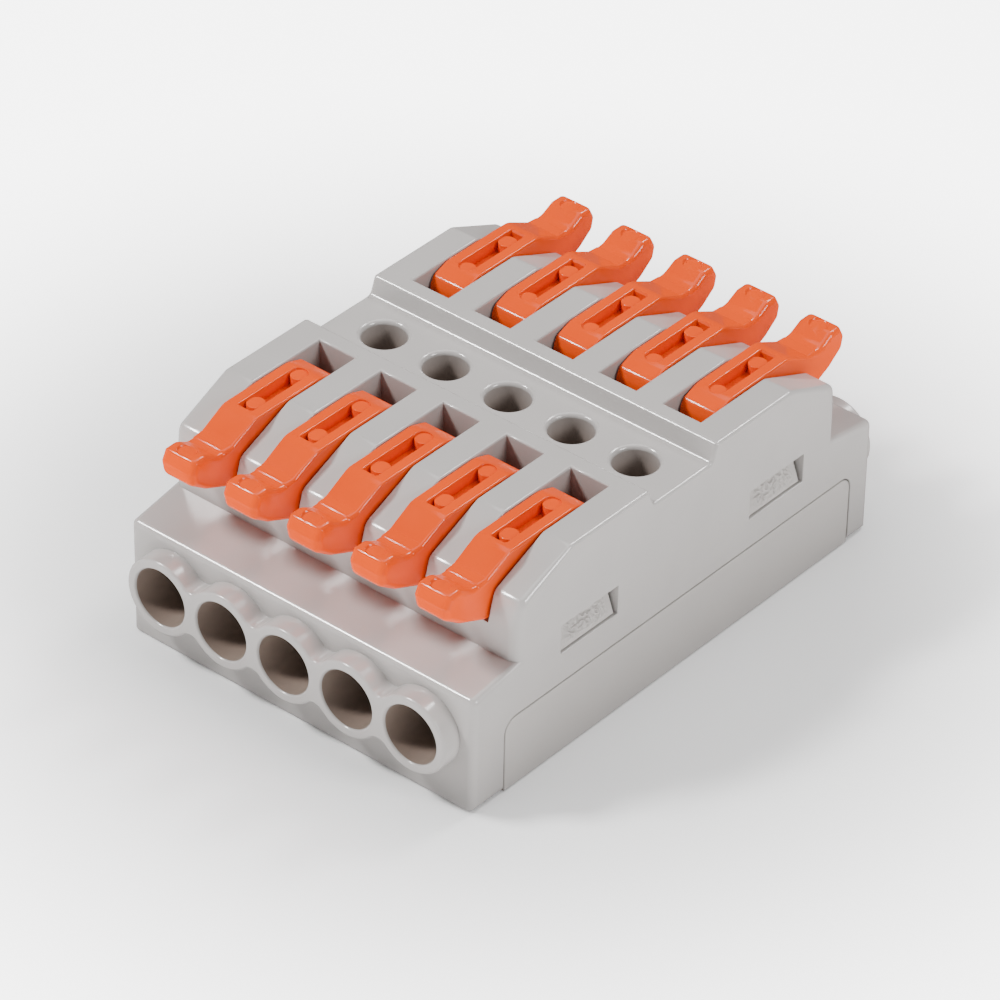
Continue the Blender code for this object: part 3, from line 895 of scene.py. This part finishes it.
def cam_outline(steps=24):
    """Cam under the nose, about the pivot: the envelope of the arm's top as the lever opens."""
    across = PIVOT.y - LOOP.y
    up = PIVOT.z - LOOP.z
    arm_top = LOOP_RADIUS + STRIP / 2
    turning = 1 + ARM_RATIO
    points = []
    for step in range(steps + 1):
        lever = OPEN_ANGLE * step / steps
        arm = ARM_RATIO * lever
        distance = across * math.sin(arm) + up * math.cos(arm) - arm_top - CAM_GAP
        slope = -ARM_RATIO / turning * (across * math.cos(arm) - up * math.sin(arm))
        angle = math.radians(270) - turning * lever
        points.append((
            distance * math.cos(angle) - slope * math.sin(angle),
            distance * math.sin(angle) + slope * math.cos(angle),
            0, 0.08))
    return points


def lever_corners():
    """Side view of a closed lever about its pivot: (reach, height, radius, rim radius)."""
    corners = [
        (6.75, 15.9, 0.5, 0.12),
        (8.2, HEIGHT, 2.5, 0.14),
        (14.5, HEIGHT, 1.5, 0.16),
        (16.68, 15.38, 0.1, 0.3),
        (17.55, 15.36, 0.08, 0.4),
        (17.63, 15.28, 0.08, 0.4),
        (18.25, 15.36, 1.2, 0.45),
        (19.3, 15.93, 0.7, 0.5),
        (20.3, 15.92, 0.3, 0.5),
        (20.8, 15.05, 0.35, 0.55),
        (20.6, 14.05, 0.7, 0.55),
        (19.2, 13.1, 1.5, 0.45),
        (16.8, LEVER_UNDERSIDE, 1.0, 0.25),
        (10.9, LEVER_UNDERSIDE, 0.6, 0.1),
    ]
    cam = cam_outline()
    top = [(a - PIVOT.y, b - PIVOT.z, radius, rim) for a, b, radius, rim in corners]
    return cam + top


def pocket_cutter():
    """Long pocket in the lever's top, round at its inner end."""
    top = HEIGHT - PIVOT.z
    inner, outer = POCKET_INNER - PIVOT.y, POCKET_OUTER - PIVOT.y
    half = POCKET_HALF_WIDTH
    corners = [
        (half, inner, half - 0.02),
        (half, outer, 0.1),
        (-half, outer, 0.1),
        (-half, inner, half - 0.02),
    ]
    return cutter(corners, "Z", POCKET_FLOOR - PIVOT.z, top, 0.1)


def pocket_slope():
    """Wedge that slopes the pocket's outer end wall."""
    wall = POCKET_OUTER - PIVOT.y
    top = HEIGHT - PIVOT.z
    corners = [(wall - 0.15, top - 0.32), (wall + 0.16, top + 0.05), (wall - 0.15, top + 0.05)]
    return prism(corners, "X", -POCKET_HALF_WIDTH + 0.02, POCKET_HALF_WIDTH - 0.02)


def dimple_cutter():
    """Shallow round dimple in the grip, with a soft rim."""
    floor = DIMPLE_FLOOR - PIVOT.z
    profile = [
        (0.62, floor),
        (0.68, floor + 0.05),
        (0.72, floor + 0.12),
        (0.8, floor + 0.2),
        (0.8, floor + BEYOND),
    ]
    return turned(profile, "Z", (0, DIMPLE_REACH - PIVOT.y, 0), 40)


def pocket_boss(reach):
    """Round boss that stands in the pocket, with a rounded top edge."""
    top = BOSS_TOP - PIVOT.z
    profile = [
        (BOSS_RADIUS, POCKET_FLOOR - PIVOT.z - 0.2),
        (BOSS_RADIUS, top - 0.06),
        (BOSS_RADIUS - 0.02, top - 0.02),
        (BOSS_RADIUS - 0.06, top),
    ]
    return turned(profile, "Z", (0, reach - PIVOT.y, 0), 40)


def lever_pattern():
    """Lever with its trunnions, the pocket with its two bosses, and the dimple in the grip."""
    corners = lever_corners()
    outline = [corner[:3] for corner in corners]
    rims = [corner[3] for corner in corners]
    lever = rimmed_prism(outline, "X", -LEVER_HALF_WIDTH, LEVER_HALF_WIDTH, rims, 5)
    end = CAVITY_HALF_WIDTH - GAP
    pin = turned([
        (TRUNNION_RADIUS - 0.1, -end),
        (TRUNNION_RADIUS, 0.1 - end),
        (TRUNNION_RADIUS, end - 0.1),
        (TRUNNION_RADIUS - 0.1, end)], "X", (0, 0, 0), 32)
    combine(lever, [pin], "UNION")
    combine(lever, [pocket_cutter(), dimple_cutter()], "DIFFERENCE")
    combine(lever, [pocket_slope()], "DIFFERENCE")
    bosses = [pocket_boss(reach) for reach in BOSS_REACHES]
    return clean(combine(lever, bosses, "UNION"))


def make_levers(material):
    pattern = finished("lever pattern", lever_pattern(), material)
    for end_name, end in ENDS.items():
        for pole in POLES:
            place = (POLE_CENTRES[pole], end * PIVOT.y, PIVOT.z)
            node = "%s_lever_%d" % (end_name, pole)
            name = "%s_lever_arm_%d" % (end_name, pole)
            lever = placed_copy(name, pattern, place, end, node)
            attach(lever, node)
    bpy.data.objects.remove(pattern)


# ---------------------------------------------------------------- floor, lights and camera

# The floor's glow is painted light; where it is missing, close round the object, it leaves painted shade.
GLOW = 4.6                          # strength of the floor's glow
GLOW_RISE = (0.022, 0.066)          # distances from the middle, in metres
GLOW_FALL = (0.085, 0.125)


def make_floor():
    """Plain pale floor that glows in a ring round the object, like a light table; the glow is painted light.

    The ring starts some way out, so the floor close round the object stays unlit, a painted shade. It is
    hidden from reflections, so that the glow doesn't whiten the levers' sides.
    """
    bpy.ops.mesh.primitive_plane_add(size=3.0, location=(0, 0, -0.00005))
    floor = bpy.context.object
    floor.name = "floor"
    material, nodes, links, shader = new_material("pale_floor")
    shader.inputs["Base Color"].default_value = (0.93, 0.93, 0.93, 1)
    shader.inputs["Roughness"].default_value = 0.7
    shader.inputs["Emission Color"].default_value = (1, 1, 1, 1)
    place = nodes.new("ShaderNodeTexCoord")
    distance = nodes.new("ShaderNodeVectorMath")
    distance.operation = "LENGTH"
    links.new(place.outputs["Object"], distance.inputs[0])
    ring = nodes.new("ShaderNodeMath")
    ring.operation = "MULTIPLY"
    rise = mapped(nodes, links, distance.outputs["Value"], *GLOW_RISE, 0, GLOW, "SMOOTHSTEP")
    fall = mapped(nodes, links, distance.outputs["Value"], *GLOW_FALL, 1, 0, "SMOOTHSTEP")
    links.new(rise, ring.inputs[0])
    links.new(fall, ring.inputs[1])
    links.new(ring.outputs[0], shader.inputs["Emission Strength"])
    floor.data.materials.append(material)
    floor.visible_glossy = False


def softbox(name, place, target, size, power, colour=(1, 1, 1)):
    """Rectangular area light that faces a target."""
    light = bpy.data.lights.new(name, "AREA")
    light.shape = "RECTANGLE"
    light.size, light.size_y = size
    light.energy = power
    light.color = colour
    item = bpy.data.objects.new(name, light)
    item.location = place
    item.rotation_euler = (Vector(target) - Vector(place)).to_track_quat("-Z", "Y").to_euler()
    bpy.context.scene.collection.objects.link(item)


def make_lights():
    """A dim even world and four softboxes."""
    world = bpy.data.worlds.new("studio")
    world.use_nodes = True
    background = world.node_tree.nodes["Background"]
    background.inputs["Color"].default_value = (1, 1, 1, 1)
    background.inputs["Strength"].default_value = 0.16
    bpy.context.scene.world = world
    middle = (0, 0, 0.008)
    softbox("top_softbox", (-0.02, 0.08, 0.45), middle, (0.36, 0.36), 0.9)
    softbox("key_softbox", (-0.237, -0.205, 0.338), middle, (0.08, 0.08), 2.5)
    softbox("back_softbox", (0.05, 0.28, 0.35), middle, (0.08, 0.08), 0.7)
    softbox("side_softbox", (0.40, 0.06, 0.24), middle, (0.14, 0.14), 1.15)


def make_camera():
    """Camera at the angle, distance and slight roll of the original view."""
    azimuth, elevation, roll = (math.radians(angle) for angle in (39.655, 36.148, 1.135))
    distance = 0.39723
    slide_right, slide_up = -0.000305, 0.005235
    back = Vector((
        math.sin(azimuth) * math.cos(elevation),
        -math.cos(azimuth) * math.cos(elevation),
        math.sin(elevation)))
    level = Vector((math.cos(azimuth), math.sin(azimuth), 0))
    rising = back.cross(level)
    right = math.cos(roll) * level + math.sin(roll) * rising
    up = -math.sin(roll) * level + math.cos(roll) * rising
    data = bpy.data.cameras.new("camera")
    data.lens = 209.3
    data.sensor_width = 36
    data.clip_start = 0.01
    camera = bpy.data.objects.new("camera", data)
    place = back * distance + right * slide_right + up * slide_up
    camera.matrix_world = Matrix.Translation(place) @ Matrix((right, up, back)).transposed().to_4x4()
    bpy.context.scene.collection.objects.link(camera)
    bpy.context.scene.camera = camera


def main():
    grey = moulded_plastic(
        "housing_grey", (0.46, 0.435, 0.42), (0.435, 0.412, 0.398), 0.17, 0.23, 0.95)
    # Painted shade for the faces inside ports, test holes, slots and cavities: darker brown, fading paler
    # between 12 and 16.2 mm high.
    inside = moulded_plastic(
        "housing_painted_shade", (0.26, 0.2, 0.165), (0.2, 0.152, 0.125), 0.3, 0.45, flow=0.000005,
        top=((0.42, 0.385, 0.37), 12.0, 16.2))
    cover_grey = moulded_plastic(
        "cover_grey", (0.45, 0.423, 0.404), (0.438, 0.412, 0.393), 0.23, 0.27, 0.6)
    orange = moulded_plastic(
        "lever_orange", (0.8, 0.072, 0.0), (0.74, 0.063, 0.0), 0.13, 0.2, 0.35)
    tinned = rolled_metal("tinned_copper", (0.78, 0.73, 0.65), (0.68, 0.64, 0.57), 0.3, (9000, 700, 9000))
    steel = rolled_metal("spring_steel", (0.58, 0.58, 0.59), (0.5, 0.5, 0.51), 0.26, (9000, 900, 900))
    make_housing(grey, inside)
    make_cover(cover_grey)
    make_busbars(tinned)
    make_springs(steel)
    make_levers(orange)
    make_floor()
    make_lights()
    make_camera()


main()
